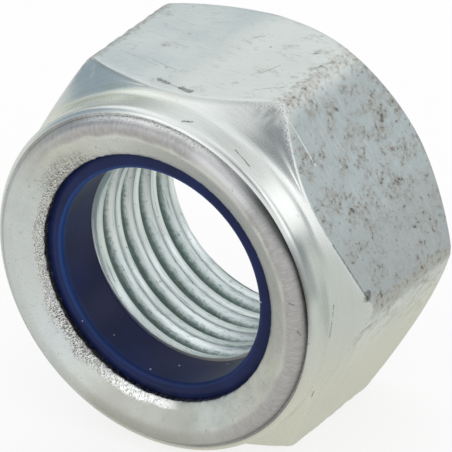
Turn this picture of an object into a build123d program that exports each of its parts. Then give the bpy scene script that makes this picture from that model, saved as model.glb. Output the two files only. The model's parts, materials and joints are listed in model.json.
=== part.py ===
from build123d import *
from math import radians, sqrt, tan
import os

# Nylon insert lock nut: a forged steel hexagon nut whose collar is crimped over a nylon ring.
#
# The nut lies on one of its flats. The thread axis is the Y axis, and the origin is the middle
# of the nut on that axis. A bolt goes in and comes out at +Y, through the bearing face, and the
# collar with the nylon ring faces -Y.
#
# Both pieces are solids of revolution, drawn as half sections. A point of a section is its
# distance from the thread axis and its height above the bearing face, both in millimetres.

# Thread, left as a plain bore at the crests
thread_diameter = 24.0  # at the roots: the bolt's nominal size
thread_depth = 1.375  # from root to crest
countersink_overhang = 1.2  # mouth of the countersink outside the bolt
countersink_slope = 45.0  # degrees from the bearing face

# Hexagon
across_flats = 36.0
hexagon_edge_radius = 1.5  # rounding of the six long edges
flat_height = 17.9  # middle of each flat's upper edge above the bearing face
bearing_inset = 0.2  # bearing circle inside the flats
bearing_slope = 47.0  # degrees, chamfer cone at the bearing face
shoulder_slope = 49.0  # degrees, cone between the hexagon and the collar
blank_allowance = 1.0  # round blank outside the hexagon's corners

# Collar
collar_height = 4.8  # crown of the lip above the flats' upper edges
collar_inset = 0.55  # collar wall inside the flats
neck_radius = 1.6  # hollow where the shoulder cone meets the collar
collar_edge_radius = 0.8

# Lip that is crimped over the nylon ring
lip_clearance = 0.5  # lip edge outside the bolt
lip_drop = 1.4  # lip edge below the crown
lip_edge_thickness = 0.7
lip_underside_rise = 0.5  # from the lip's edge to the collar wall
crown_inset = 1.35  # crown's outer edge inside the collar wall
crown_width = 1.0
crown_edge_radius = 0.8
crimp_mark_inset = 0.52  # step that the crimping tool left, inside the collar wall
crimp_mark_drop = 0.8  # that step below the crown
crimp_mark_depth = 0.12

# Nylon ring
seat_drop = 2.05  # seat of the ring below the flats' upper edges
ring_grip = 1.1  # bore of the ring inside the bolt's nominal size
ring_width = 4.25  # from its bore to the collar's wall
ring_face_drop = 0.35  # front of the ring below the lip's edge
ring_chamfer = 0.4  # at the mouth of the ring's bore


def cone_rise(width, slope):
    """Height that a cone of this slope, in degrees, gains over a width."""
    return width * tan(radians(slope))


# Distances from the thread axis
bolt_radius = thread_diameter / 2
crest_radius = bolt_radius - thread_depth
countersink_radius = bolt_radius + countersink_overhang
ring_bore_radius = bolt_radius - ring_grip
lip_radius = bolt_radius + lip_clearance
flats_radius = across_flats / 2
blank_radius = across_flats / sqrt(3) + blank_allowance
bearing_radius = flats_radius - bearing_inset
collar_radius = flats_radius - collar_inset
pocket_radius = ring_bore_radius + ring_width
crown_outer_radius = collar_radius - crown_inset
crown_inner_radius = crown_outer_radius - crown_width
crimp_mark_radius = collar_radius - crimp_mark_inset

# Heights above the bearing face
total_height = flat_height + collar_height
seat_height = flat_height - seat_drop
countersink_height = cone_rise(countersink_radius - crest_radius, countersink_slope)
bearing_cone_height = cone_rise(blank_radius - bearing_radius, bearing_slope)
shoulder_cone_height = flat_height - cone_rise(blank_radius - flats_radius, shoulder_slope)
neck_height = flat_height + cone_rise(collar_inset, shoulder_slope)
lip_edge_height = total_height - lip_drop
lip_underside_height = lip_edge_height - lip_edge_thickness
lip_root_height = lip_underside_height + lip_underside_rise
ring_face_height = lip_edge_height - ring_face_drop
crimp_mark_height = total_height - crimp_mark_drop
collar_edge_height = crimp_mark_height - crimp_mark_inset / 2

# Every section stands on the bearing face, and its height runs towards the collar
middle = total_height / 2
section_plane = Plane(origin=(0, middle, 0), x_dir=(1, 0, 0), z_dir=(0, 0, -1))
bearing_plane = Plane(origin=(0, middle, 0), x_dir=(1, 0, 0), z_dir=(0, -1, 0))


def half_section(corners):
    """Closed half section through (distance, height, rounding) corners."""
    with BuildSketch(section_plane) as section:
        with BuildLine():
            points = [(distance, height) for distance, height, rounding in corners]
            roundings = [rounding for distance, height, rounding in corners]
            FilletPolyline(*points, radius=roundings, close=True)
        make_face()
    return section.sketch


# The lip's underside and edge are shared by both sections, so the ring fills the pocket
body_section = half_section(
    [
        (countersink_radius, 0, 0),
        (bearing_radius, 0, 0),
        (blank_radius, bearing_cone_height, 0),
        (blank_radius, shoulder_cone_height, 0),
        (collar_radius, neck_height, neck_radius),
        (collar_radius, collar_edge_height, collar_edge_radius),
        (crimp_mark_radius, crimp_mark_height, 0),
        (crimp_mark_radius - crimp_mark_depth, crimp_mark_height - crimp_mark_depth, 0),
        (crown_outer_radius, total_height, crown_edge_radius),
        (crown_inner_radius, total_height, crown_edge_radius),
        (lip_radius, lip_edge_height, 0),
        (lip_radius, lip_underside_height, 0),
        (pocket_radius, lip_root_height, 0),
        (pocket_radius, seat_height, 0),
        (crest_radius, seat_height, 0),
        (crest_radius, countersink_height, 0),
    ]
)
ring_section = half_section(
    [
        (ring_bore_radius, seat_height, 0),
        (pocket_radius, seat_height, 0),
        (pocket_radius, lip_root_height, 0),
        (lip_radius, lip_underside_height, 0),
        (lip_radius, ring_face_height, 0),
        (ring_bore_radius + ring_chamfer, ring_face_height, 0),
        (ring_bore_radius, ring_face_height - ring_chamfer, 0),
    ]
)

# Steel body: the revolved blank, cut down to the hexagon
with BuildPart() as nut_body:
    revolve(body_section, axis=Axis.Y)
    with BuildSketch(bearing_plane):
        hexagon = RegularPolygon(radius=flats_radius, side_count=6, major_radius=False)
        fillet(hexagon.vertices(), hexagon_edge_radius)
    extrude(amount=total_height, mode=Mode.INTERSECT)

# Nylon ring: it fills the pocket and stands in the bolt's way
with BuildPart() as nylon_ring:
    revolve(ring_section, axis=Axis.Y)

os.makedirs("parts", exist_ok=True)
nut_body.part.label = "nut_body"
export_step(nut_body.part, "parts/nut_body.step")
nylon_ring.part.label = "nylon_ring"
export_step(nylon_ring.part, "parts/nylon_ring.step")
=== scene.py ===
"""Dresses a forged nylon insert lock nut: its body with the thread, its nylon ring and the stage.

A point of either piece is given by its distance from the thread axis, its angle about that axis,
from +X towards +Z, and its height above the bearing face, which faces +Y.
"""

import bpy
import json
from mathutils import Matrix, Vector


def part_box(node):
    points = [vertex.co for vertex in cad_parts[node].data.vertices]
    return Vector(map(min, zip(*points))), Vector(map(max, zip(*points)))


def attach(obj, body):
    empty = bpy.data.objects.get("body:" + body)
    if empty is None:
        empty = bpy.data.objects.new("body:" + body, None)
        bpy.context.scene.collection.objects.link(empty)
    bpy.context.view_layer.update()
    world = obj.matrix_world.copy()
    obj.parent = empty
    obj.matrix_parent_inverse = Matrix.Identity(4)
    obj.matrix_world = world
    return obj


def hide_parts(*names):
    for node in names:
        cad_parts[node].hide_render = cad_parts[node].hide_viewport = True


bl_info = {
    "name": "Nylon Insert Lock Nut",
    "version": (1, 0, 0),
    "blender": (4, 5, 0),
    "location": "View3D > Sidebar > Lock Nut",
    "description": "Makes a zinc plated lock nut with its thread, crimped collar and nylon ring",
    "category": "Object",
}

import json
import math

import bpy
import numpy as np
from bpy.props import FloatProperty, FloatVectorProperty, IntProperty, PointerProperty
from mathutils import Matrix, Vector

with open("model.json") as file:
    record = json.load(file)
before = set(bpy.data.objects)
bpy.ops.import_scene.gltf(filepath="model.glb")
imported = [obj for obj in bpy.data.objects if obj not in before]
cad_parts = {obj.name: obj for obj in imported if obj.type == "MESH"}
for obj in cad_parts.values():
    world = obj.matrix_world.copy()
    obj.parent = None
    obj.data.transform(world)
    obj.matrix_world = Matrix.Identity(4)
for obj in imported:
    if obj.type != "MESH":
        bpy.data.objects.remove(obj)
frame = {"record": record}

MM = 0.001
BODY_LOW, BODY_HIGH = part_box("nut_body")
RING_LOW, RING_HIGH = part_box("nylon_ring")
MOUNTS = {mount["name"]: mount for mount in frame["record"]["mounts"]}

BEARING_Y = BODY_HIGH[1]
TOTAL_HEIGHT = BODY_HIGH[1] - BODY_LOW[1]
FLATS_RADIUS = BODY_HIGH[2]
CREST_RADIUS = MOUNTS["thread"]["dims"]["r_mm"] * MM
RING_BORE_RADIUS = MOUNTS["ring_bore"]["dims"]["r_mm"] * MM
POCKET_RADIUS = RING_HIGH[0]
SEAT_HEIGHT = BEARING_Y - RING_HIGH[1]
LIP_ROOT_HEIGHT = BEARING_Y - RING_LOW[1]

SAME_POINT = 0.0002 * MM
SHARP_ANGLE = math.radians(38)
CORNER_TURN = math.radians(60)

# How much higher than its cone the forged shoulder meets each corner, in millimetres
CORNER_RISES = (1.45, -0.2, 0.7, 0.4, 0.1, 0.3)

# Scratches and gouges as start, end and half width, in millimetres
MARKS = (
    ((-2.0, -5.1, 18.0), (-1.1, -5.3, 18.0), 0.34),
    ((-0.9, -5.4, 18.0), (0.5, -5.6, 18.0), 0.1),
    ((0.7, -5.6, 18.0), (1.7, -5.7, 18.0), 0.38),
    ((-4.8, -2.2, 18.0), (-0.4, -3.0, 18.0), 0.07),
    ((-0.4, -3.0, 18.0), (4.4, -3.9, 18.0), 0.05),
    ((-8.6, -1.9, 18.0), (-3.7, -2.9, 18.0), 0.06),
    ((5.4, 0.3, 18.0), (6.1, 2.6, 18.0), 0.09),
    ((6.8, -2.6, 18.0), (8.2, -1.3, 18.0), 0.08),
    ((3.3, 5.3, 18.0), (3.4, 5.4, 18.0), 0.14),
    ((3.5, -9.6, 17.1), (4.1, -9.1, 17.0), 0.18),
    ((12.1, 2.5, 15.0), (12.15, 2.7, 14.9), 0.2),
    ((13.6, 7.9, 12.3), (13.8, 7.6, 12.0), 0.3),
    ((16.3, -1.8, 7.7), (16.4, -1.6, 7.5), 0.25),
    ((17.6, -7.2, 0.7), (17.3, -7.6, -2.5), 0.1),
    ((8.6, -8.9, 15.2), (10.3, -9.2, 14.1), 0.14),
    ((11.3, -9.1, 13.3), (14.7, -8.0, 9.4), 0.05),
    ((16.2, -11.2, -0.5), (16.8, -10.5, -1.9), 0.15),
    ((15.5, -11.3, 2.3), (15.9, -11.2, 2.2), 0.12),
    ((17.1, -6.2, 6.3), (20.1, -5.3, 1.1), 0.12),
    ((20.1, -5.3, 1.1), (19.9, -4.9, 1.4), 0.45),
    ((15.1, -7.2, -9.0), (14.7, -7.0, -9.9), 0.12),
)

BRIGHT_SCRATCH = (10.9, -3.9, 16.9), (13.6, -3.4, 12.3), 0.12
FULL_MARK_WIDTH = 1 / 6  # narrower marks are fainter

WHITE = (1.0, 1.0, 1.0)
FLOOR_SHADE = (0.93, 0.93, 0.93)
FLOOR_IN_METAL = (0.70, 0.70, 0.64)  # what metal mirrors of the floor
FLOOR_GLOW = 0.78  # share of the floor that shows its own colour and not the light on it

# The room that metal mirrors. Each wall is a round patch, in degrees: its azimuth and elevation,
# the radii within which it is full and beyond which it is gone, and its colour.
ROOM_SHADE = (0.76, 0.77, 0.76)
WALLS = (
    (-20, -5, 20, 70, (0.94, 0.96, 0.95)),
    (135, -14, 16, 46, (0.34, 0.37, 0.37)),
    (178, 0, 15, 45, (0.50, 0.52, 0.52)),
    (102, -12, 8, 28, (0.46, 0.48, 0.47)),
    (-160, 42, 12, 30, (0.56, 0.58, 0.57)),
    (-131, 3, 12, 34, (0.38, 0.42, 0.39)),
    (-76, 24, 12, 30, (0.26, 0.33, 0.38)),
    (90, 80, 12, 32, (0.60, 0.62, 0.62)),
    (50, 47, 9, 21, (0.0, 0.01, 0.03)),
    (107, 22, 3, 10, (0.25, 0.27, 0.28)),
    (141, 21, 6, 16, (1.4, 1.4, 1.38)),
    (73, 40, 3, 9, (1.35, 1.37, 1.37)),
    (-25, 28, 6, 22, (1.35, 1.37, 1.37)),
)

# Each lamp's name, azimuth and elevation in degrees, distance and size in metres, and watts
LAMPS = (
    ("back_lamp", -125, 68, 1.3, 1.8, 2.6),
    ("right_lamp", 76, 37, 1.2, 1.0, 1.2),
)

# Corners of the body's section, in the order in which its surface is laid
(BEARING_INNER, BEARING_EDGE, HEXAGON_LOW, HEXAGON_HIGH, NECK, COLLAR_EDGE, MARK_TOP,
 MARK_FOOT, CROWN_OUTER, CROWN_INNER, LIP_EDGE, LIP_UNDERSIDE, LIP_ROOT, SEAT_OUTER,
 THREAD_TOP) = range(15)

# What each of those corners gets: how far its rounding reaches, in millimetres, the rows of that
# rounding, and the rows of the stretch after it
BODY_CORNERS = {
    BEARING_INNER: (0, 0, 4),
    BEARING_EDGE: (0.1, 2, 3),
    HEXAGON_LOW: (0.25, 3, 30),
    HEXAGON_HIGH: (0.2, 3, 7),
    NECK: (0.75, 6, 4),
    COLLAR_EDGE: (0.55, 5, 4),
    MARK_TOP: (0.06, 1, 1),
    MARK_FOOT: (0.06, 1, 7),
    CROWN_OUTER: (0.45, 4, 3),
    CROWN_INNER: (0.5, 4, 8),
    LIP_EDGE: (0.15, 3, 2),
    LIP_UNDERSIDE: (0.1, 1, 2),
    LIP_ROOT: (0.1, 1, 2),
    SEAT_OUTER: (0.1, 1, 2),
    THREAD_TOP: (0, 0, 0),
}

# A station runs from one corner to the next, and this share of it at either end is rounding
ROUNDED_SHARE = 0.05


def length(name, description, millimetres):
    """A property that holds a length."""
    return FloatProperty(
        name=name, description=description, default=millimetres * MM, unit="LENGTH", precision=5
    )


def colour(name, description, value):
    """A property that holds a colour."""
    return FloatVectorProperty(
        name=name, description=description, default=value, subtype="COLOR", min=0, max=1
    )


def angle(name, description, degrees):
    """A property that holds an angle."""
    return FloatProperty(
        name=name, description=description, default=math.radians(degrees), subtype="ANGLE"
    )


class LockNutBodySizes(bpy.types.PropertyGroup):
    """Sizes of the steel body that the frame doesn't give."""

    hexagon_edge_radius: length("Hexagon edge", "Rounding of the six long edges", 1.5)
    flat_height: length("Flat height", "Middle of a flat's upper edge above the bearing face", 17.9)
    bearing_inset: length("Bearing inset", "Bearing circle inside the flats", 0.2)
    bearing_slope: angle("Bearing slope", "Chamfer cone at the bearing face", 47)
    shoulder_slope: angle("Shoulder slope", "Cone between the hexagon and the collar", 49)
    collar_inset: length("Collar inset", "Collar wall inside the flats", 0.55)
    neck_reach: length("Neck", "Half of the hollow where the shoulder meets the collar", 0.75)
    mark_inset: length("Crimp mark inset", "Step of the crimping tool inside the collar wall", 0.52)
    mark_drop: length("Crimp mark drop", "That step below the crown", 0.8)
    mark_depth: length("Crimp mark depth", "How deep the crimping tool bit", 0.16)
    crown_inset: length("Crown inset", "Crown's outer edge inside the collar wall", 1.35)
    crown_width: length("Crown width", "Flat top of the crimped lip", 1.0)
    lip_radius: length("Lip radius", "Inner edge of the crimped lip", 12.5)
    lip_drop: length("Lip drop", "Inner edge of the lip below the crown", 1.4)
    lip_thickness: length("Lip thickness", "Steel at the lip's inner edge", 0.7)
    burr: length("Burr", "Unevenness of the lip's inner edge", 0.13)
    swell: length("Swell", "Depth of the flats' broad unevenness", 0.02)
    nicks: length("Nicks", "Depth of the nicks in the long edges", 0.05)
    valley: length("Valley", "Greatest depth of the dent along the crimp mark", 0.3)
    valley_width: length("Valley width", "Half width of that dent", 0.55)
    rim_width: length("Bright rim", "Half width of the bared metal at the shoulder", 0.55)
    columns: IntProperty(name="Columns", description="Faces around the nut", default=408, min=96)


class LockNutThreadSizes(bpy.types.PropertyGroup):
    """Sizes of the right-handed thread."""

    pitch: length("Pitch", "Advance of the thread in one turn", 3.0)
    depth: length("Depth", "From crest to root", 1.375)
    root_width: length("Root width", "Flat at the bottom of the groove", 0.375)
    flank_angle: angle("Flank angle", "Slope of a flank from the thread's radius", 30)
    start_angle: angle("Start", "Angle at which a root meets the bearing face's plane", 18)
    ease: length("Ease", "Rounding of the crests and roots", 0.07)
    run_out: length("Run-out", "Height over which the thread fades below the ring's seat", 1.6)
    countersink_overhang: length("Countersink", "Mouth of the countersink outside the bolt", 1.2)


class LockNutRingSizes(bpy.types.PropertyGroup):
    """Sizes of the nylon ring that the frame doesn't give."""

    front_drop: length("Front drop", "Front of the ring below the lip's edge", 0.35)
    edge_reach: length("Edge rounding", "Rounding of the ring's mouth", 0.55)
    shadow_gap: length("Gap under the lip", "Fall of the ring's front towards the lip", 0.3)
    crest: length("Crest", "Highest circle of the ring's front outside its bore", 0.75)
    columns: IntProperty(name="Columns", description="Faces around the ring", default=288, min=96)


class LockNutFinishes(bpy.types.PropertyGroup):
    """Colours of the plating and of the nylon."""

    zinc: colour("Zinc", "Plating on the flats", (0.81, 0.865, 0.865))
    zinc_cloud: colour("Zinc clouds", "Duller clouds on the flats", (0.71, 0.77, 0.79))
    # Brighter plating towards 74 degrees, on the upper flat beside the corner at 60 degrees
    zinc_bright: colour("Bright zinc", "Plating on the least worn flat", (0.97, 0.99, 0.97))
    zinc_dull: colour("Dull zinc", "Plating on the most worn flat", (0.57, 0.63, 0.65))
    zinc_low: colour("Low zinc", "Lower end of the most worn flat", (0.47, 0.50, 0.50))
    drawn_bright: colour("Bright lines", "Bright lines along the flats", (0.90, 0.93, 0.92))
    drawn_dull: colour("Dull lines", "Dull lines along the flats", (0.50, 0.49, 0.45))
    edge_wear: colour("Edge wear", "Long edges of the hexagon", (0.62, 0.60, 0.56))
    stain: colour("Stain", "Brown stain on the forged flats", (0.38, 0.345, 0.30))
    # Also painted shade in the gap between the lip's inner edge and the nylon ring
    pit_and_gap_shade: colour("Pit", "Dark pits in the forged flats", (0.10, 0.09, 0.08))
    face_blotch: colour("Face blotches", "Blotches on the bearing face", (0.52, 0.53, 0.51))
    # Painted reflection of the cream floor on the nut's lower side
    floor_reflection: colour("Cream", "Plating on the nut's lower side", (0.80, 0.80, 0.70))
    bare: colour("Bare metal", "Scratched and frosted metal", (0.95, 0.95, 0.94))
    rim: colour("Rim", "Bared metal along the shoulder's edge", (0.92, 0.92, 0.91))

    shoulder: colour("Shoulder", "Smooth plating of shoulder and collar", (0.86, 0.885, 0.875))
    shoulder_streak: colour("Streaks", "Streaks round the shoulder", (0.77, 0.80, 0.785))
    shoulder_speck: colour("Shoulder specks", "Specks on the shoulder", (0.50, 0.50, 0.48))
    # Painted shade on the shoulder's side at 355 degrees, standing in for darker reflections there
    shoulder_shade: colour("Low shoulder", "Shoulder at its duller side", (0.62, 0.665, 0.655))
    # Painted shade in the neck's hollow, standing in for darker reflections there
    hollow: colour("Hollow", "Dull patch in the neck's hollow", (0.36, 0.40, 0.41))
    # Painted shade on the shoulder under the top flat, which dims a lamp's highlight along that
    # edge
    top_edge_shade: colour("Worn edge", "Dull line under the top flat", (0.50, 0.525, 0.52))
    # Painted shade on a horn of the shoulder, standing in for a dark reflection
    horn_shade: colour("Dusk", "Dull patch on a horn of the shoulder", (0.42, 0.46, 0.49))
    sheen: colour("Sheen", "Yellow sheen in the neck", (0.78, 0.80, 0.55))

    band: colour("Crimp band", "Dull ring that the crimping tool left", (0.48, 0.47, 0.48))
    band_ridge: colour("Band ridges", "Ridges of the crimp band", (0.58, 0.57, 0.575))
    # Painted highlight on the crimp band's side at 57 degrees
    band_highlight: colour("Bright band", "Brighter side of the crimp band", (0.82, 0.82, 0.84))
    lip: colour("Lip", "Plating on the front of the lip", (0.70, 0.725, 0.69))
    lip_blotch: colour("Lip blotches", "Blotches on the lip", (0.57, 0.585, 0.57))
    lip_cream: colour("Cream lip", "Cream clouds on the lip", (0.68, 0.68, 0.60))
    # Painted light on the lip's side at 65 degrees
    lip_painted_light: colour("Bright lip", "Brighter side of the lip", (0.92, 0.94, 0.91))
    lip_cool: colour("Cool lip", "Bluish side of the lip", (0.80, 0.86, 0.91))
    # Painted shade on the lip's side at 266 degrees, which tempers a bright reflection there
    lip_painted_shade: colour("Dull lip", "Duller side of the lip", (0.47, 0.47, 0.42))
    lip_stipple: colour("Lip stipple", "Fine stipple on the lip", (0.40, 0.40, 0.38))
    speck: colour("Specks", "Specks on the collar's front", (0.28, 0.27, 0.25))
    # The band's outer edge is smoother here, and this colour paints a highlight on it
    glint: colour("Glint", "Polished outer edge of the crimp band", (0.93, 0.93, 0.92))
    # The lip's edge is smoother here, and this colour paints a highlight on it
    gleam: colour("Gleam", "Polished patch of the lip's edge", (0.97, 0.97, 0.96))
    grime: colour("Grime", "Grime in the frosted lip and the thread", (0.22, 0.21, 0.18))
    smear: colour("Smear", "Dirt smeared on the lip", (0.15, 0.14, 0.12))
    # Painted shade in the groove of the crimping tool's mark and along its foot
    mark: colour("Crimp mark", "Dirt in the crimping tool's mark", (0.14, 0.145, 0.145))

    thread: colour("Thread", "Plating in the thread", (0.95, 1.0, 1.0))
    thread_cool: colour("Cool thread", "Bluish streaks in the thread", (0.84, 0.95, 0.97))
    # Painted shade in the thread's roots
    thread_root_shade: colour("Thread root", "Dull plating at the thread's roots", (0.26, 0.34, 0.31))
    thread_line: colour("Thread lines", "Fine lines along the helix", (0.26, 0.35, 0.34))

    nylon: colour("Nylon", "Moulded nylon", (0.008, 0.017, 0.085))
    nylon_cloud: colour("Nylon clouds", "Darker clouds in the nylon", (0.006, 0.012, 0.06))
    # Painted highlight along the ring's mouth, brightest on the side at 130 degrees
    nylon_mouth_highlight: colour("Nylon edge", "Thin edge, which lets light in", (0.015, 0.07, 0.26))
    dust: colour("Dust", "Specks of dust on the nylon", (0.35, 0.38, 0.5))


def moved(corner, way, reach):
    """A corner moved by a reach along the way to its neighbour, and no further than that."""
    size = np.linalg.norm(way, axis=1)[:, None]
    return corner + way * reach / np.maximum(size, reach + 1e-9)


def rounded_rows(corners, reaches, arc_steps, run_steps):
    """Rows of a surface whose section is a line through corners, each cut round.

    corners is (corner, column, 2): every column has its own section. Round corner k, the line is
    the parabola from its reach before the corner to its reach after it, with the corner as the
    middle control point. Between the rounded corners it is straight. Also returns each row's
    station, which is k at corner k and grows evenly along a straight stretch.
    """
    rows, stations = [corners[0][None]], [np.zeros(1)]
    still = np.zeros_like(corners[0])
    for k, corner in enumerate(corners):
        first, last = k == 0, k == len(corners) - 1
        arriving = moved(corner, still if first else corners[k - 1] - corner, reaches[k])
        departing = moved(corner, still if last else corners[k + 1] - corner, reaches[k])
        if not first:
            share = np.linspace(0, 1, run_steps[k - 1] + 1)[1:, None, None]
            rows.append(leaving + (arriving - leaving) * share)
            straight = (1 - 2 * ROUNDED_SHARE) * share[:, 0, 0]
            stations.append(k - 1 + ROUNDED_SHARE + straight)
        if not (first or last or reaches[k] == 0):
            t = np.linspace(0, 1, arc_steps[k] + 1)[1:, None, None]
            rows.append(arriving * (1 - t) ** 2 + 2 * corner * t * (1 - t) + departing * t**2)
            stations.append(k + ROUNDED_SHARE * (2 * t[:, 0, 0] - 1))
        leaving = departing
    return np.concatenate(rows), np.concatenate(stations)


def waves(points, wavelength, seed, count=40):
    """Smooth unevenness between about -1 and 1: the sum of plane waves in random directions."""
    draw = np.random.default_rng(seed)
    directions = draw.normal(size=(count, 3))
    directions /= np.linalg.norm(directions, axis=1)[:, None]
    lengths = wavelength * draw.uniform(0.7, 1.5, count)
    shifts = draw.uniform(0, 2 * math.pi, count)
    phases = points @ (directions * (2 * math.pi / lengths)[:, None]).T + shifts
    return np.sin(phases).sum(axis=-1) / math.sqrt(count)


def place(distance, angles, height):
    """Points of the frame from distances, angles and heights."""
    return np.stack(
        [distance * np.cos(angles), BEARING_Y - height, distance * np.sin(angles)], axis=-1
    )


def add_surface(name, points, attributes):
    """Puts a grid of points (row, column, 3) into a mesh piece that closes on itself.

    The last row meets the first, and the last column the first. Points that coincide become one
    vertex, and the quads that lose a corner that way become triangles.
    """
    rows, columns = points.shape[:2]
    flat_points = points.reshape(-1, 3)
    keys = np.round(flat_points / SAME_POINT).astype(np.int64)
    _, kept, merged = np.unique(keys, axis=0, return_index=True, return_inverse=True)
    index = merged.reshape(rows, columns)
    index = np.concatenate([index, index[:1]])
    quads = np.stack(
        [index[:-1, :-1], index[:-1, 1:], index[1:, 1:], index[1:, :-1]], axis=-1
    ).reshape(-1, 4)
    following = np.roll(quads, -1, axis=1)
    repeats = quads == following
    whole = quads[repeats.sum(axis=1) == 0]
    cut = repeats.sum(axis=1) == 1
    triangles = quads[cut][~repeats[cut]].reshape(-1, 3)
    mesh = bpy.data.meshes.new(name)
    mesh.from_pydata(flat_points[kept], [], whole.tolist() + triangles.tolist())
    for label, values in attributes.items():
        layer = mesh.attributes.new(label, "FLOAT", "POINT")
        layer.data.foreach_set("value", values.reshape(-1)[kept].astype(np.float32))
    mesh.shade_smooth()
    mesh.set_sharp_from_angle(angle=SHARP_ANGLE)
    mesh.validate()
    piece = bpy.data.objects.new(name, mesh)
    bpy.context.scene.collection.objects.link(piece)
    return piece


def column_angles(count, crowding=0.6):
    """Angles from 0 to a full turn, which crowd towards the hexagon's six corners."""
    even = np.linspace(0, 2 * math.pi, count + 1)
    return even - crowding * np.sin(6 * even) / 6


def from_nearest_corner(angles):
    """Angle from the nearest of the hexagon's corners, which lie at multiples of 60 degrees."""
    return (angles + CORNER_TURN / 2) % CORNER_TURN - CORNER_TURN / 2


def hexagon_distance(angles, flats, rounding):
    """Distance of the hexagon from the axis.

    A flat is its distance over the cosine of the angle from its middle. A corner is an arc about
    a centre that lies its radius inside both flats.
    """
    half_turn = CORNER_TURN / 2
    from_corner = np.abs(from_nearest_corner(angles))
    centre = (flats - rounding) / math.cos(half_turn)
    across = centre * np.sin(from_corner)
    arc = centre * np.cos(from_corner) + np.sqrt(np.maximum(rounding**2 - across**2, 0))
    reach = math.atan2(rounding * math.sin(half_turn), centre + rounding * math.cos(half_turn))
    return np.where(from_corner < reach, arc, flats / np.cos(half_turn - from_corner))


def bell(away, width):
    """1 in the middle, falling to nothing beyond a width: e to the minus square of away/width."""
    return np.exp(-((away / width) ** 2))


def corner_rise(angles):
    """How much higher than its cone the shoulder meets the corners: a bell at each of them."""
    total = np.zeros_like(angles)
    for corner, rise in enumerate(CORNER_RISES):
        away = (angles - CORNER_TURN * corner + math.pi) % (2 * math.pi) - math.pi
        total += rise * MM * bell(away, math.radians(11))
    return total


def facing(angles, degrees, sharpness):
    """1 towards the side at an angle and 0 opposite: a power of the half angle's cosine."""
    return np.cos((angles - math.radians(degrees)) / 2) ** sharpness


def body_corners(sizes, thread, angles, thread_top):
    """Corners (corner, column, 2) of the body's section, as distance and height."""
    flats = FLATS_RADIUS
    hexagon = hexagon_distance(angles, flats, sizes.hexagon_edge_radius)
    bearing = flats - sizes.bearing_inset
    collar = flats - sizes.collar_inset
    mark = collar - sizes.mark_inset
    mark_height = TOTAL_HEIGHT - sizes.mark_drop
    crown = collar - sizes.crown_inset
    lip_height = TOTAL_HEIGHT - sizes.lip_drop
    neck_height = sizes.flat_height + sizes.collar_inset * math.tan(sizes.shoulder_slope)
    shoulder = sizes.flat_height - (hexagon - flats) * math.tan(sizes.shoulder_slope)
    mouth = CREST_RADIUS + thread.depth + thread.countersink_overhang
    pairs = {
        BEARING_INNER: (mouth, 0),
        BEARING_EDGE: (bearing, 0),
        HEXAGON_LOW: (hexagon, (hexagon - bearing) * math.tan(sizes.bearing_slope)),
        HEXAGON_HIGH: (hexagon, shoulder + corner_rise(angles)),
        NECK: (collar, neck_height),
        COLLAR_EDGE: (collar, mark_height - sizes.mark_inset / 2),
        MARK_TOP: (mark, mark_height),
        MARK_FOOT: (mark - sizes.mark_depth, mark_height - sizes.mark_depth),
        CROWN_OUTER: (crown, TOTAL_HEIGHT),
        CROWN_INNER: (crown - sizes.crown_width, TOTAL_HEIGHT),
        LIP_EDGE: (sizes.lip_radius, lip_height),
        LIP_UNDERSIDE: (sizes.lip_radius, lip_height - sizes.lip_thickness),
        LIP_ROOT: (POCKET_RADIUS, LIP_ROOT_HEIGHT),
        SEAT_OUTER: (POCKET_RADIUS, SEAT_HEIGHT),
        THREAD_TOP: (thread_top, SEAT_HEIGHT),
    }
    corners = np.empty((len(pairs), len(angles), 2))
    for corner, (distance, height) in pairs.items():
        corners[corner, :, 0] = distance
        corners[corner, :, 1] = height
    return corners


def thread_section(thread):
    """One pitch of the thread as shares of the pitch and distances, from the middle of a root."""
    run = thread.depth * math.tan(thread.flank_angle)
    root = CREST_RADIUS + thread.depth
    half_root = thread.root_width / 2
    ease = thread.ease
    crest_start = half_root + run
    crest_end = thread.pitch - crest_start
    slope = math.tan(thread.flank_angle)
    axial = np.array([
        0, half_root - ease, half_root + ease * slope,
        half_root + run / 3, half_root + 2 * run / 3,
        crest_start - ease * slope, crest_start + ease,
        thread.pitch / 2,
        crest_end - ease, crest_end + ease * slope,
        crest_end + run / 3, crest_end + 2 * run / 3,
        thread.pitch - half_root - ease * slope, thread.pitch - half_root + ease,
    ])
    from_root = np.minimum(axial, thread.pitch - axial)
    distance = root - np.clip((from_root - half_root) / run, 0, 1) * thread.depth
    return axial / thread.pitch, distance


def thread_rows(thread, angles):
    """Rows of the threaded bore, from the bearing face to the seat of the ring.

    Each row follows the helix, whose height grows by one pitch in a turn, and is cut off at the
    bearing face and at the seat. The distance is that of the thread's section at the row's
    height, or that of the countersink's cone where the cone is wider.
    """
    shares, distances = thread_section(thread)
    turns = math.ceil(SEAT_HEIGHT / thread.pitch)
    steps = (np.arange(-2, turns + 1)[:, None] + shares).ravel()
    helix = (angles - thread.start_angle) / (2 * math.pi)
    height = np.clip((steps[:, None] + helix) * thread.pitch, 0, SEAT_HEIGHT)
    phase = (height / thread.pitch - helix) % 1
    distance = np.interp(phase, np.append(shares, 1), np.append(distances, distances[0]))
    shallowest = 0.3
    fade = np.clip((SEAT_HEIGHT - height) / thread.run_out, shallowest, 1)
    distance = CREST_RADIUS + (distance - CREST_RADIUS) * fade
    cone = CREST_RADIUS + thread.depth + thread.countersink_overhang - height
    return np.stack([np.maximum(distance, cone), height], axis=-1)


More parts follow.
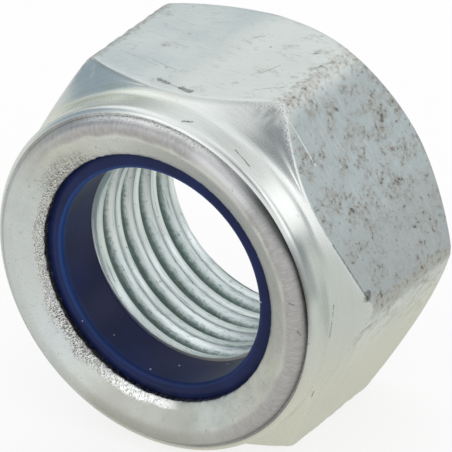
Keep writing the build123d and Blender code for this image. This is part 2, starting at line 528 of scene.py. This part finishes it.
def build_body(sizes, thread):
    """The steel body: one surface that runs round its whole section, thread included."""
    angles = column_angles(sizes.columns)
    bore = thread_rows(thread, angles)
    reaches, arc_steps, run_steps = zip(*BODY_CORNERS.values())
    reaches = np.array(reaches) * MM
    reaches[NECK] = sizes.neck_reach
    corners = body_corners(sizes, thread, angles, bore[-1, :, 0])
    shell, stations = rounded_rows(corners, reaches, arc_steps, run_steps)
    stations = np.concatenate([stations, np.full(len(bore), THREAD_TOP + 1.0)])
    section = np.concatenate([shell, bore[::-1]])
    distance, height = section[..., 0], section[..., 1]
    station = np.repeat(stations[:, None], len(angles), axis=1)
    roughen_body(sizes, angles, distance, height, station)
    meeting = corners[HEXAGON_HIGH]
    rim = bell(np.hypot(distance - meeting[:, 0], height - meeting[:, 1]), sizes.rim_width)
    rim *= (
        0.3 * bell(from_nearest_corner(angles), math.radians(7))
        + 0.7 * bell(angles - math.radians(58), math.radians(9))
    )
    flats_start = HEXAGON_LOW - 0.9  # close to the bearing edge, so that the chamfer is a flat's
    zones = {
        "flat_zone": zone(station, flats_start, HEXAGON_HIGH),
        "shoulder_zone": zone(station, HEXAGON_HIGH, MARK_TOP),
        "front_zone": zone(station, MARK_TOP, LIP_UNDERSIDE),
        "thread_zone": zone(station, THREAD_TOP, THREAD_TOP + 2),
        "rim_zone": rim,
    }
    return add_surface("forged_body", place(distance, angles, height), zones)


def zone(station, start, stop):
    """1 between two stations and 0 elsewhere, with ends as soft as a corner's rounding."""
    rise = np.clip((station - start) / ROUNDED_SHARE + 0.5, 0, 1)
    fall = np.clip((stop - station) / ROUNDED_SHARE + 0.5, 0, 1)
    return np.minimum(rise, fall)


def roughen_body(sizes, angles, distance, height, station):
    """Presses the forging's unevenness into the section: everything moves inwards only.

    The flats and the long edges sink by waves. The crimp mark sinks by a bell about its circle,
    deepest at its upper right. The lip's inner edge is eaten back and down by short waves.
    """
    points = place(distance, angles, height)

    def sink(wavelength, seed):
        return (1 + waves(points, wavelength * MM, seed).clip(-1, 1)) / 2

    hexagon = zone(station, HEXAGON_LOW - 0.5, HEXAGON_HIGH + 0.5)
    edge = bell(from_nearest_corner(angles), math.radians(3))
    nicks = 2 * sizes.nicks * sink(0.9, 2)
    distance -= hexagon * (2 * sizes.swell * sink(9, 1) + edge * nicks)

    mark = FLATS_RADIUS - sizes.collar_inset - sizes.mark_inset
    inward = 0.35 * MM * facing(angles, 44, 40)
    valley = zone(station, COLLAR_EDGE + 0.1, CROWN_OUTER + 0.1)
    valley = valley * bell(distance - mark + inward, sizes.valley_width)
    height -= valley * (0.02 * MM + sizes.valley * facing(angles, 25, 8))

    lip = zone(station, LIP_EDGE - 0.12, LIP_UNDERSIDE)
    burr = lip * sizes.burr * (0.2 + 0.8 * facing(angles, 205, 4))
    distance += burr * sink(0.55, 3)
    height -= 0.7 * burr * sink(0.5, 4)


def build_ring(sizes, body):
    """The nylon ring: its section, with a rounded mouth, carried round the axis."""
    angles = np.linspace(0, 2 * math.pi, sizes.columns + 1)
    lip_height = TOTAL_HEIGHT - body.lip_drop
    front = lip_height - sizes.front_drop
    under = lip_height - body.lip_thickness

    # Each corner's distance and height, the reach of its rounding in millimetres, the rows of
    # that rounding, and the rows of the stretch after it
    outline = (
        (RING_BORE_RADIUS, SEAT_HEIGHT, 0, 0, 3),
        (POCKET_RADIUS, SEAT_HEIGHT, 0.1, 2, 3),
        (POCKET_RADIUS, LIP_ROOT_HEIGHT, 0.1, 2, 3),
        (body.lip_radius + 0.1 * MM, under, 0.05, 1, 1),
        (body.lip_radius - 0.05 * MM, front - sizes.shadow_gap, 0.1, 3, 3),
        (RING_BORE_RADIUS + sizes.crest, front, 0.3, 4, 1),
        (RING_BORE_RADIUS, front, sizes.edge_reach / MM, 8, 12),
        (RING_BORE_RADIUS, SEAT_HEIGHT, 0, 0, 0),
    )
    distances, heights, reaches, arc_steps, run_steps = zip(*outline)
    corners = np.array([[pair] * len(angles) for pair in zip(distances, heights)])
    section, _ = rounded_rows(corners, np.array(reaches) * MM, arc_steps, run_steps)
    section = section[:-1]
    points = place(section[..., 0], angles, section[..., 1])
    return add_surface("nylon_insert", points, {})


def sums(operation):
    """An operator of Value and its reflected form, which add a Math node for the operation."""

    def forward(first, second):
        return first.finish.maths(operation, first, second)

    def reflected(second, first):
        return second.finish.maths(operation, first, second)

    return forward, reflected


class Value:
    """One socket of a material, on which sums read as sums and add their Math nodes."""

    __add__, __radd__ = sums("ADD")
    __sub__, __rsub__ = sums("SUBTRACT")
    __mul__, __rmul__ = sums("MULTIPLY")
    __truediv__, __rtruediv__ = sums("DIVIDE")

    def __init__(self, finish, socket):
        self.finish = finish
        self.socket = socket


class Finish:
    """A node tree under construction, of a material or of the world."""

    def __init__(self, owner):
        owner.use_nodes = True
        self.tree = owner.node_tree
        self.tree.nodes.clear()

    def node(self, kind, settings=None, inputs=None, output=0):
        """Adds a node: its settings first, then a value or a link for each of its sockets."""
        made = self.tree.nodes.new(kind)
        for key, value in (settings or {}).items():
            setattr(made, key, value)
        for key, value in (inputs or {}).items():
            if isinstance(value, Value):
                self.tree.links.new(value.socket, made.inputs[key])
            else:
                made.inputs[key].default_value = value
        return Value(self, made.outputs[output]) if made.outputs else made

    def maths(self, operation, first, second=0.0):
        """A sum of two numbers, or of one."""
        return self.node("ShaderNodeMath", {"operation": operation}, {0: first, 1: second})

    def vector_maths(self, operation, first, second, output="Vector"):
        """A sum of two vectors, or of a vector and its scale."""
        inputs = {0: first, ("Scale" if operation == "SCALE" else 1): second}
        return self.node("ShaderNodeVectorMath", {"operation": operation}, inputs, output)

    def ray(self, kind):
        """1 for rays of a kind, and 0 for others."""
        return self.node("ShaderNodeLightPath", output=f"Is {kind} Ray")

    def attribute(self, name):
        """A zone that the mesh carries."""
        return self.node("ShaderNodeAttribute", {"attribute_name": name}, output="Fac")

    def noise(self, spot, scale, detail=2.0, roughness=0.5):
        """Cloudy unevenness from 0 to 1 about 0.5, with `scale` clouds in each unit of spot."""
        return self.node(
            "ShaderNodeTexNoise", {"noise_dimensions": "3D"},
            {"Vector": spot, "Scale": scale, "Detail": detail, "Roughness": roughness}, "Fac",
        )

    def step(self, value, low, high):
        """Goes smoothly from 0 to 1 as value goes from low to high."""
        return self.node(
            "ShaderNodeMapRange", {"interpolation_type": "SMOOTHSTEP"},
            {"Value": value, "From Min": low, "From Max": high},
        )

    def clamp(self, value):
        """A value kept between 0 and 1."""
        return self.node("ShaderNodeClamp", {}, {"Value": value})

    def away(self, value, middle):
        """How far a value is from its middle."""
        return self.maths("ABSOLUTE", value - middle)

    def vector(self, x, y, z):
        """A vector from three values."""
        return self.node("ShaderNodeCombineXYZ", {}, {0: x, 1: y, 2: z})

    def mix(self, factor, first, second):
        """Goes from the first colour to the second as factor goes from 0 to 1."""
        first, second = (
            shade if isinstance(shade, Value) else (*shade[:3], 1) for shade in (first, second)
        )
        return self.node(
            "ShaderNodeMix", {"data_type": "RGBA"}, {0: factor, 6: first, 7: second}, output=2
        )

    def paint(self, base, *coats):
        """Lays coats over a colour: each is the share that it covers and its own colour."""
        for share, shade in coats:
            base = self.mix(share, base, shade)
        return base

    def bump(self, depth, relief):
        """A normal bent by relief, of which 1 stands for a depth."""
        return self.node(
            "ShaderNodeBump", {}, {"Strength": 1.0, "Distance": depth, "Height": relief}
        )

    def coat(self, **inputs):
        """Ends a material with a Principled surface, whose sockets these values or links feed."""
        sockets = {name.replace("_", " "): value for name, value in inputs.items()}
        surface = self.node("ShaderNodeBsdfPrincipled", {}, sockets)
        self.node("ShaderNodeOutputMaterial", {}, {"Surface": surface})


class Spot:
    """A point of the nut as its materials see it, in millimetres."""

    def __init__(self, material):
        self.finish = finish = Finish(material)
        object_place = finish.node("ShaderNodeTexCoord", output="Object")
        self.place = finish.vector_maths("SCALE", object_place, 1 / MM)
        self.x, self.y, self.z = (
            finish.node("ShaderNodeSeparateXYZ", {}, {0: self.place}, output=axis)
            for axis in "XYZ"
        )
        on_axis = finish.vector(0.0, self.y, 0.0)
        self.distance = finish.vector_maths("DISTANCE", self.place, on_axis, "Value")
        self.height = BEARING_Y / MM - self.y
        self.around = self.x / self.distance, self.z / self.distance

    def side(self, degrees, low, high):
        """Rises from 0 to 1 towards the side of the nut at an angle about its axis.

        low and high are cosines of the angle away from that side.
        """
        around_x, around_z = self.around
        turn = math.radians(degrees)
        towards_side = around_x * math.cos(turn) + around_z * math.sin(turn)
        return self.finish.step(towards_side, low, high)

    def rings(self, count, along, scale, detail, roughness):
        """Unevenness that is short round the axis and stretched away from it."""
        around_x, around_z = self.around
        spot = self.finish.vector(around_x * count, around_z * count, self.distance * along)
        return self.finish.noise(spot, scale, detail, roughness)

    def scratch(self, wobble, start, end, width):
        """1 on a ragged scratch between two points in millimetres, and 0 beyond its width."""
        finish = self.finish
        start, end = Vector(start), Vector(end)
        along = end - start
        offset = finish.vector_maths("SUBTRACT", self.place, start)
        share = finish.vector_maths("DOT_PRODUCT", offset, along / along.length_squared, "Value")
        nearest = finish.vector_maths("SCALE", along, finish.clamp(share))
        gap = finish.vector_maths("DISTANCE", offset, nearest, "Value")
        return finish.step(gap + wobble * width * 3.0, width, width * 0.4)


class SteelSpot(Spot):
    """A point of the steel body, with the zones that its mesh carries and the noises they share."""

    def __init__(self, material):
        super().__init__(material)
        finish = self.finish
        self.flat, self.shoulder, self.front, self.thread, self.rim = (
            finish.attribute(name)
            for name in ("flat_zone", "shoulder_zone", "front_zone", "thread_zone", "rim_zone")
        )
        self.clouds = finish.noise(self.place, 0.16, 3.0)
        self.blotches = finish.noise(self.place, 0.5, 6.0, 0.68)
        self.fine = finish.noise(self.place, 2.2, 5.0, 0.7)
        self.grain = finish.noise(self.place, 5.0, 3.0, 0.6)
        self.stipple = finish.noise(self.place, 9.0, 2.0, 0.6)
        drawn = finish.vector(self.x * 0.12, self.y, self.z * 0.12)
        self.drawn = finish.noise(drawn, 4.5, 4.0, 0.65)
        turned = finish.vector(self.distance, self.height, self.around[0] * 1.5)
        self.turned = finish.noise(turned, 5.0, 4.0, 0.65)


def plated_flats(steel, colours):
    """Colour and pits of the flats.

    They are pale and clouded, with lines drawn along them, brown stains, clusters of small pits
    and worn long edges. The flat at 30 degrees is the most worn.
    """
    side, step, fine = steel.side, steel.finish.step, steel.fine
    worn = side(20, 0.55, 0.95) * 0.09
    dull = side(27, 0.84, 0.9)
    stains = step(steel.blotches + worn * 1.4, 0.54, 0.74)
    stains = stains * step(fine + steel.stipple * 0.2, 0.46, 0.68)
    pits = step(fine + stains * 0.05 + worn * 0.6, 0.66, 0.75) * steel.flat
    long_edge = step(steel.distance + (fine - 0.5) * 0.8, 20.2, 20.5)
    colour = steel.finish.paint(
        colours.zinc,
        (step(steel.clouds, 0.35, 0.7), colours.zinc_cloud),
        # Brighter towards 74 degrees, on the upper flat
        (side(74, 0.93, 0.99) * 0.6, colours.zinc_bright),
        (dull, colours.zinc_dull),
        (step(steel.drawn, 0.5, 0.75) * 0.35, colours.drawn_bright),
        (step(steel.drawn, 0.42, 0.3) * 0.35, colours.drawn_dull),
        (stains * 0.75, colours.stain),
        (side(4, 0.93, 0.99) * dull * 0.5, colours.zinc_low),
        (long_edge * 0.35, colours.edge_wear),
        (long_edge * step(fine, 0.47, 0.62) * 0.5, colours.stain),
        (pits * 0.7, colours.pit_and_gap_shade),
    )
    return colour, pits


def plated_face(steel, colours):
    """Colour of the bearing face: turned, with a few blotches."""
    step = steel.finish.step
    return steel.finish.paint(
        colours.zinc,
        (step(steel.turned, 0.35, 0.7), colours.zinc_cloud),
        (step(steel.blotches, 0.52, 0.72) * 0.5, colours.face_blotch),
        (step(steel.fine, 0.62, 0.7) * 0.6, colours.stain),
    )


def plated_shoulder(steel, colours):
    """Colour of shoulder and collar wall: smooth, with faint streaks round the axis and painted
    shade.
    """
    side, step, height = steel.side, steel.finish.step, steel.height
    # Painted shade in the neck's hollow
    hollow = side(18, 0.975, 0.995) * step(height, 20.1, 21.0)
    # Painted shade on the horn of the shoulder at 53 degrees
    horn_shade = side(53, 0.985, 0.998) * step(steel.distance, 18.3, 18.7)
    sheen = side(122, 0.75, 0.97) * step(steel.turned, 0.42, 0.6)
    sheen = sheen * step(height, 17.6, 18.4) * step(height, 20.6, 19.4)
    return steel.finish.paint(
        colours.shoulder,
        (step(steel.turned, 0.4, 0.75), colours.shoulder_streak),
        (step(steel.fine, 0.62, 0.72) * 0.5, colours.shoulder_speck),
        # Painted shade on the side at 355 degrees
        (side(355, 0.86, 0.95) * 0.75, colours.shoulder_shade),
        # Painted shade in the neck's hollow
        (hollow * 0.7, colours.hollow),
        # Painted shade under the top flat, dimming the lamp's highlight there
        (step(steel.z, 17.5, 17.95) * 0.7, colours.top_edge_shade),
        (horn_shade * 0.3, colours.horn_shade),
        (sheen * 0.5, colours.sheen),
    )


def crimped_front(steel, colours, sizes):
    """Colour, change of roughness and relief of the collar's front, and the painted shade in its
    mark.

    The crimping tool left a dull band with ridges, whose outer edge is polished on one side, with a
    painted highlight there and on one side of the band. The lip inside it is smoother, with painted
    light on one side and painted shade on another. Its edge is frosted, smeared with grime, torn on
    one side and given a painted highlight on another, and painted shade darkens the gap under it.
    """
    finish, side, step = steel.finish, steel.side, steel.finish.step
    distance, stipple, grain = steel.distance, steel.stipple, steel.grain
    wander = finish.noise(steel.place, 0.35, 2.0) - 0.5
    ridges = steel.rings(17, 0.35, 4.5, 3.0, 0.65)
    streaks = steel.rings(12, 0.5, 10.0, 3.0, 0.7)
    speckle = step(streaks, 0.48, 0.62)
    from_lip = distance - sizes.lip_radius / MM

    band = step(from_lip + wander * 1.2, 2.3, 2.9) * (side(35, -0.6, 0.2) * 0.85 + 0.15)
    band_colour = finish.paint(
        colours.band,
        (step(ridges, 0.35, 0.7), colours.band_ridge),
        # Painted highlight on the side at 57 degrees
        (side(57, 0.96, 0.995) * 0.8, colours.band_highlight),
    )
    lip_colour = finish.paint(
        colours.lip,
        (step(steel.blotches, 0.4, 0.65), colours.lip_blotch),
        (step(steel.clouds, 0.4, 0.65) * 0.5, colours.lip_cream),
        # Painted light on the side at 65 degrees
        (side(65, 0.2, 0.95) * 0.75, colours.lip_painted_light),
        (side(190, 0.5, 0.95) * 0.6, colours.lip_cool),
        # Painted shade on the side at 266 degrees
        (side(266, 0.88, 0.97) * 0.75, colours.lip_painted_shade),
        (step(stipple, 0.55, 0.7) * 0.35, colours.lip_stipple),
    )
    # Smoother outer edge of the band, with a painted highlight on the side at 86 degrees
    glint = step(from_lip + wander * 0.4, 3.75, 4.1) * side(86, 0.8, 0.97)
    frost = step(from_lip + wander * 0.7, 1.1, 0.7) * side(195, 0.0, 0.8)
    smear = side(137, 0.94, 0.99) * step(from_lip + wander, 2.0, 1.3)
    smear = smear + side(219, 0.95, 0.99) * step(from_lip + wander, 1.4, 1.0)
    # Smoother patch of the lip's edge, with a painted highlight on the side at 259 degrees
    gleam = side(259, 0.93, 0.985) * step(from_lip + wander * 0.8, 0.95, 0.7)
    torn = side(205, 0.5, 0.95) * 0.16
    # Painted shade in the gap between the lip's inner edge and the ring, along its torn edge, wider
    # on the side at 205 degrees
    burr = step(from_lip + (streaks - 0.5) * 1.4 - torn, 0.12, 0.04)
    burr = burr * step(steel.height + (streaks - 0.5) * 0.6, 21.25, 21.1)
    colour = finish.paint(
        lip_colour,
        (band, band_colour),
        (glint * step(grain, 0.3, 0.55), colours.glint),
        (step(steel.fine, 0.60, 0.72) * 0.7, colours.speck),
        (frost * step(stipple, 0.4, 0.55), colours.bare),
        (frost * step(stipple, 0.5, 0.42) * 0.6, colours.grime),
        ((frost * 0.3 + smear * 0.75) * speckle, colours.smear),
        (gleam * step(streaks, 0.62, 0.5), colours.gleam),
        # Painted shade in the gap under the lip's edge
        (burr * 0.9, colours.pit_and_gap_shade),
    )
    gloss = glint * 0.1 + gleam * 0.12 + 0.06 - band * 0.08
    relief = band * ridges * 0.6 + frost * speckle * 1.2 + glint * grain * 1.5 + grain * 0.25

    mark = sizes.collar_inset + sizes.mark_inset + sizes.mark_depth / 2
    mark = (FLATS_RADIUS - mark) / MM
    from_mark = finish.away(distance + wander * 0.2 + side(44, 0.9, 1.0) * 0.35, mark)
    # Painted shade in the crimp mark's groove, strongest on the side at 24 degrees, and a thin line
    # of it along the mark's foot
    mark_shade = step(from_mark + (stipple - 0.5) * 0.3, 0.55, 0.05) * step(steel.height, 21.0, 21.6)
    mark_shade = mark_shade * (side(24, 0.84, 0.98) * 0.75 + side(335, 0.4, 0.9) * 0.1)
    foot_shade = step(from_mark + (stipple - 0.5) * 0.2, 0.25, 0.05) * (side(60, 0.3, 0.9) + 0.6)
    return colour, gloss, relief, mark_shade + foot_shade * 0.2


def plated_thread(steel, colours, thread):
    """Colour of the bore: pale flanks, painted shade in the roots, fine lines and a pale
    countersink.
    """
    finish, step = steel.finish, steel.finish.step
    depth = (steel.distance - CREST_RADIUS / MM) / (thread.depth / MM)
    # Painted shade in the roots and on the lower part of the flanks, but not on the countersink
    root = step(depth + (steel.fine - 0.5) * 0.6, 0.3, 0.75)
    mouth = (CREST_RADIUS + thread.depth + thread.countersink_overhang) / MM
    countersink = step(finish.away(steel.distance + steel.height, mouth), 0.15, 0.05)
    countersink = countersink * step(steel.height, 2.75, 2.55)
    return finish.paint(
        colours.thread,
        (step(steel.turned, 0.35, 0.7), colours.thread_cool),
        (root * (1.0 - countersink), colours.thread_root_shade),
        (step(steel.turned, 0.56, 0.68) * 0.6, colours.thread_line),
        (step(steel.fine, 0.62, 0.7) * 0.7, colours.grime),
    )


def all_marks(steel):
    """1 on every scratch and gouge, fainter on the narrow ones."""
    marks = 0.0
    for start, end, width in MARKS:
        strength = min(width / FULL_MARK_WIDTH, 1.0)
        marks = marks + steel.scratch(steel.fine - 0.5, start, end, width) * strength
    return marks * (1.0 - steel.thread) * steel.finish.step(steel.stipple, 0.32, 0.52)


def zinc_finish(colours, sizes, thread_sizes):
    """Bright zinc on forged steel, whose zones differ in colour, gloss and grain."""
    material = bpy.data.materials.new("zinc_on_forged_steel")
    steel = SteelSpot(material)
    finish, flat, front, thread = steel.finish, steel.flat, steel.front, steel.thread
    flats, pits = plated_flats(steel, colours)
    front_colour, gloss, front_relief, mark_shade = crimped_front(steel, colours, sizes)
    # Painted reflection of the floor, on the lower side at 300 degrees
    floor_reflection = steel.side(300, 0.45, 0.95)
    rim = steel.rim * finish.step(steel.grain, 0.38, 0.6)
    marks = all_marks(steel)
    nick = steel.scratch((steel.fine - 0.5) * 0.5, *BRIGHT_SCRATCH)
    colour = finish.paint(
        plated_face(steel, colours),
        (flat, flats),
        (steel.shoulder, plated_shoulder(steel, colours)),
        # Painted reflection of the floor on the lower side
        (floor_reflection * 0.8 * (1.0 - thread), colours.floor_reflection),
        (front, front_colour),
        # Painted shade in the crimp mark
        (mark_shade * (1.0 - thread), colours.mark),
        (thread, plated_thread(steel, colours, thread_sizes)),
        (rim, colours.rim),
        (marks * 0.75, colours.pit_and_gap_shade),
        (nick * 0.8, colours.bare),
    )
    roughness = 0.44 + flat * 0.03 + steel.grain * 0.06
    roughness = roughness - steel.shoulder * 0.2 - front * gloss - thread * 0.1
    relief = steel.grain * (0.35 * flat + 0.02) + steel.drawn * flat * 0.3
    relief = relief + steel.turned * (steel.shoulder * 0.04 + thread * 1.6)
    relief = relief + front * front_relief + rim * 1.5 - pits * 1.2 - marks * 1.5
    finish.coat(
        Base_Color=colour, Metallic=1.0, Roughness=roughness,
        Normal=finish.bump(0.02 * MM, relief),
    )
    return material


def nylon_finish(colours):
    """Dark moulded nylon, with a faint sheen, a painted highlight on its mouth and a few specks of
    dust.
    """
    material = bpy.data.materials.new("moulded_nylon")
    nylon = Spot(material)
    finish = nylon.finish
    clouds = finish.noise(nylon.place, 0.3, 3.0)
    fine = finish.noise(nylon.place, 6.0, 3.0)
    from_edge = finish.away(nylon.distance + (fine - 0.5) * 0.15, RING_BORE_RADIUS / MM + 0.15)
    # Painted highlight along the ring's mouth, brightest on the side at 130 degrees
    edge = finish.step(from_edge, 0.3, 0.05) * finish.step(nylon.y, -8.6, -9.2)
    lit = nylon.side(130, -0.7, 0.9) * 0.45 + 0.15
    cells = finish.node(
        "ShaderNodeTexVoronoi", {"feature": "F1"}, {"Vector": nylon.place, "Scale": 0.45},
        "Distance",
    )
    colour = finish.paint(
        colours.nylon,
        (finish.step(clouds, 0.35, 0.7), colours.nylon_cloud),
        (edge * lit, colours.nylon_mouth_highlight),
        (finish.step(cells, 0.06, 0.04), colours.dust),
    )
    finish.coat(
        Base_Color=colour, Roughness=0.3 + fine * 0.1, Specular_IOR_Level=0.2,
        Normal=finish.bump(0.01 * MM, fine),
    )
    return material


def floor_finish():
    """Pale matt floor that shows white to the camera and keeps the object's shadow."""
    material = bpy.data.materials.new("pale_floor")
    finish = Finish(material)
    shade = finish.mix(finish.ray("Camera"), FLOOR_IN_METAL, WHITE)
    matt = finish.node("ShaderNodeBsdfDiffuse", {}, {"Color": (*FLOOR_SHADE, 1)})
    glow = finish.node("ShaderNodeEmission", {}, {"Color": shade, "Strength": 1.0})
    share = seen_directly(finish) * FLOOR_GLOW
    surface = finish.node("ShaderNodeMixShader", {}, {0: share, 1: matt, 2: glow})
    finish.node("ShaderNodeOutputMaterial", {}, {"Surface": surface})
    return material


def seen_directly(finish):
    """1 for rays from the camera and for those mirrored or let through, and 0 for light."""
    return finish.clamp(finish.ray("Camera") + finish.ray("Glossy") + finish.ray("Transmission"))


def towards(azimuth, elevation):
    """The direction at an azimuth, from -Y towards +X, and an elevation, both in radians."""
    return Vector((
        math.sin(azimuth) * math.cos(elevation),
        -math.cos(azimuth) * math.cos(elevation),
        math.sin(elevation),
    ))


def room_light(stage):
    """A white room whose soft grey walls only metal mirrors, and which gives off even light."""
    world = bpy.data.worlds.new("white_room")
    finish = Finish(world)
    direction = finish.node("ShaderNodeTexCoord", output="Generated")
    room = ROOM_SHADE
    for azimuth, elevation, inner, outer, shade in WALLS:
        middle = towards(math.radians(azimuth), math.radians(elevation))
        nearness = finish.vector_maths("DOT_PRODUCT", direction, middle, "Value")
        edge, core = math.cos(math.radians(outer)), math.cos(math.radians(inner))
        room = finish.mix(finish.step(nearness, edge, core), room, shade)
    shade = finish.paint(
        (stage.ambient,) * 3, (seen_directly(finish), room), (finish.ray("Camera"), WHITE)
    )
    background = finish.node("ShaderNodeBackground", {}, {"Color": shade, "Strength": 1.0})
    finish.node("ShaderNodeOutputWorld", {}, {"Surface": background})
    return world


def add_lamp(name, azimuth, elevation, distance, size, power):
    """A square area lamp that faces the nut."""
    lamp = bpy.data.lights.new(name, "AREA")
    lamp.shape = "SQUARE"
    lamp.size = size
    lamp.energy = power
    holder = bpy.data.objects.new(name, lamp)
    spot = towards(math.radians(azimuth), math.radians(elevation)) * distance
    turn = (-spot).to_track_quat("-Z", "Y").to_matrix().to_4x4()
    holder.matrix_world = Matrix.Translation(spot) @ turn
    bpy.context.scene.collection.objects.link(holder)


def add_floor(half_width):
    """A square floor under the nut."""
    mesh = bpy.data.meshes.new("floor")
    level = BODY_LOW[2]
    signs = ((-1, -1), (1, -1), (1, 1), (-1, 1))
    mesh.from_pydata(
        [(half_width * x, half_width * y, level) for x, y in signs], [], [(0, 1, 2, 3)]
    )
    floor = bpy.data.objects.new("floor", mesh)
    mesh.materials.append(floor_finish())
    bpy.context.scene.collection.objects.link(floor)
    return floor


def add_camera(stage):
    """The camera, which looks past the bearing face's centre and is rolled a little."""
    back = towards(stage.azimuth, stage.elevation)
    level_right = Vector((math.cos(stage.azimuth), math.sin(stage.azimuth), 0))
    level_up = back.cross(level_right)
    right = level_right * math.cos(stage.roll) + level_up * math.sin(stage.roll)
    up = back.cross(right)
    aim = Vector((0, BEARING_Y, 0)) - right * stage.aim_left - up * stage.aim_down
    turn = Matrix((right, up, back)).transposed().to_4x4()
    camera = bpy.data.objects.new("camera", bpy.data.cameras.new("camera"))
    camera.matrix_world = Matrix.Translation(aim + back * stage.camera_distance) @ turn
    camera.data.lens = stage.lens
    camera.data.clip_start = 0.05
    camera.data.clip_end = 20
    bpy.context.scene.collection.objects.link(camera)
    return camera


class LockNutStage(bpy.types.PropertyGroup):
    """Camera, floor and light."""

    azimuth: angle("Azimuth", "Where the camera stands, from -Y towards +X", 34.34)
    elevation: angle("Elevation", "Camera above the horizon", 28.21)
    roll: angle("Roll", "Turn of the camera about its line of sight", -2.317)
    camera_distance: length("Camera distance", "From the bearing face's centre", 750)
    lens: FloatProperty(name="Lens", description="Focal length in millimetres", default=636.3)
    aim_left: length("Aim left", "Camera to the left of the bearing face's centre", 5.276)
    aim_down: length("Aim down", "Camera below the bearing face's centre", 3.917)
    ambient: FloatProperty(name="Room light", description="Even light from the room", default=0.9)
    floor: length("Floor", "Half of the floor's width", 3000)


class LOCKNUT_OT_body(bpy.types.Operator):
    """Makes the forged steel body with its thread and collar"""

    bl_idname = "lock_nut.body"
    bl_label = "Forged body"

    def execute(self, context):
        scene = context.scene
        piece = build_body(scene.lock_nut_body, scene.lock_nut_thread)
        piece.data.materials.append(
            zinc_finish(scene.lock_nut_finishes, scene.lock_nut_body, scene.lock_nut_thread)
        )
        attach(piece, "root")
        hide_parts("nut_body")
        return {"FINISHED"}


class LOCKNUT_OT_ring(bpy.types.Operator):
    """Makes the nylon ring that grips the bolt"""

    bl_idname = "lock_nut.ring"
    bl_label = "Nylon ring"

    def execute(self, context):
        scene = context.scene
        piece = build_ring(scene.lock_nut_ring, scene.lock_nut_body)
        piece.data.materials.append(nylon_finish(scene.lock_nut_finishes))
        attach(piece, "root")
        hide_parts("nylon_ring")
        return {"FINISHED"}


class LOCKNUT_OT_stage(bpy.types.Operator):
    """Makes the floor, the lamps, the room and the camera"""

    bl_idname = "lock_nut.stage"
    bl_label = "Stage"

    def execute(self, context):
        scene = context.scene
        stage = scene.lock_nut_stage
        scene.view_settings.view_transform = "Standard"
        floor = add_floor(stage.floor)
        scene.world = room_light(stage)
        for lamp in LAMPS:
            add_lamp(*lamp)
        scene.camera = add_camera(stage)
        return {"FINISHED"}


class LOCKNUT_PT_panel(bpy.types.Panel):
    """Lists the nut's sizes and what makes its pieces"""

    bl_idname = "LOCKNUT_PT_panel"
    bl_label = "Lock Nut"
    bl_space_type = "VIEW_3D"
    bl_region_type = "UI"
    bl_category = "Lock Nut"

    def draw(self, context):
        for name, _ in SETTINGS:
            box = self.layout.box()
            settings = getattr(context.scene, name)
            for key in settings.bl_rna.properties.keys():
                if key not in ("rna_type", "name"):
                    box.prop(settings, key)
        for operator in OPERATORS:
            self.layout.operator(operator.bl_idname)


SETTINGS = (
    ("lock_nut_body", LockNutBodySizes),
    ("lock_nut_thread", LockNutThreadSizes),
    ("lock_nut_ring", LockNutRingSizes),
    ("lock_nut_finishes", LockNutFinishes),
    ("lock_nut_stage", LockNutStage),
)
OPERATORS = (LOCKNUT_OT_body, LOCKNUT_OT_ring, LOCKNUT_OT_stage)


def register():
    for name, group in SETTINGS:
        bpy.utils.register_class(group)
        setattr(bpy.types.Scene, name, PointerProperty(type=group))
    for operator in OPERATORS:
        bpy.utils.register_class(operator)
    bpy.utils.register_class(LOCKNUT_PT_panel)


def unregister():
    bpy.utils.unregister_class(LOCKNUT_PT_panel)
    for operator in reversed(OPERATORS):
        bpy.utils.unregister_class(operator)
    for name, group in reversed(SETTINGS):
        delattr(bpy.types.Scene, name)
        bpy.utils.unregister_class(group)


def main():
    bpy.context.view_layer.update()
    register()
    bpy.ops.lock_nut.body()
    bpy.ops.lock_nut.ring()
    bpy.ops.lock_nut.stage()


if __name__ == "__main__":
    main()
